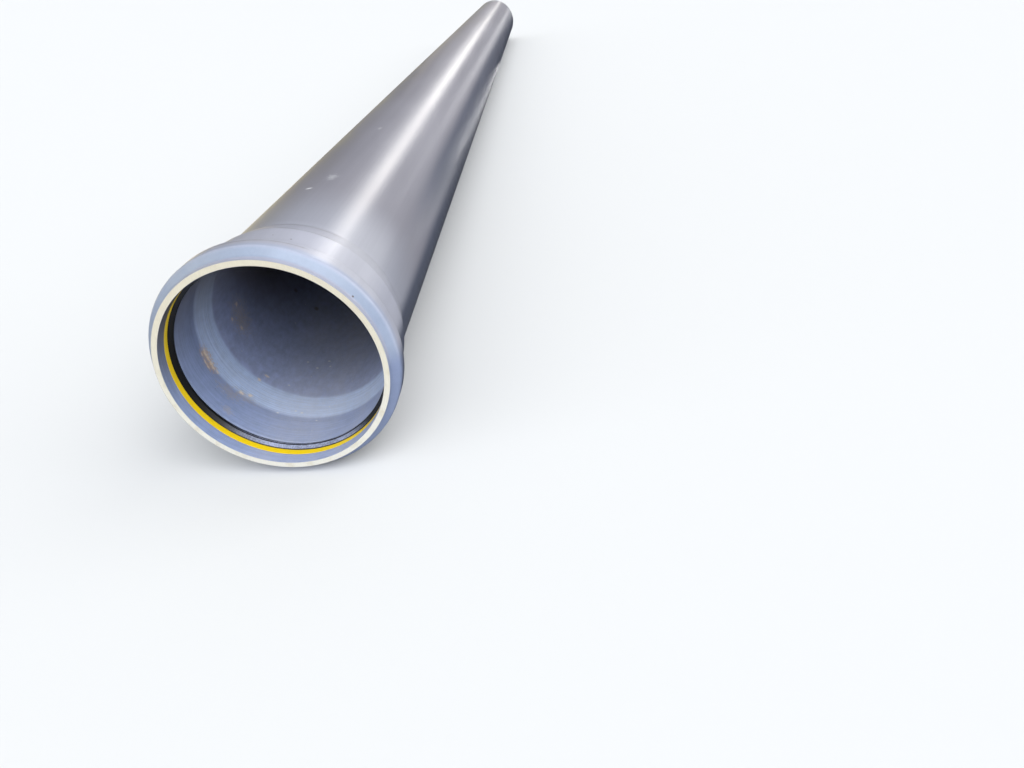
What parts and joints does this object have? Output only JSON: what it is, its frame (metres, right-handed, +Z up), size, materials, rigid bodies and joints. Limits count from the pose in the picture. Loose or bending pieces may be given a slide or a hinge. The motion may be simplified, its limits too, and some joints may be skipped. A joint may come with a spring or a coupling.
{
  "type": "pvc sewer pipe",
  "caption": "Straight grey plastic sewer pipe, plain at one end, with a beaded push-fit socket at the other that holds a lip seal and its retaining ring.",
  "frame": {"origin": "on the pipe's axis, at the centre of the socket's mouth", "axes": "+Y runs along the pipe from the socket's mouth to the spigot end, +Z is up; at rest the axis dips 0.21 degrees towards the spigot, because the bead and the spigot's edge both lie on the floor"},
  "size_m": [0.359, 6.0011, 0.3591],
  "materials": {
    "grey_pvc": "satin",
    "black_rubber": "matte",
    "yellow_plastic": "satin"
  },
  "bodies": {
    "root": {"pipe": "grey_pvc", "sealing_ring": "black_rubber", "retaining_ring": "yellow_plastic"}
  },
  "joints": []
}
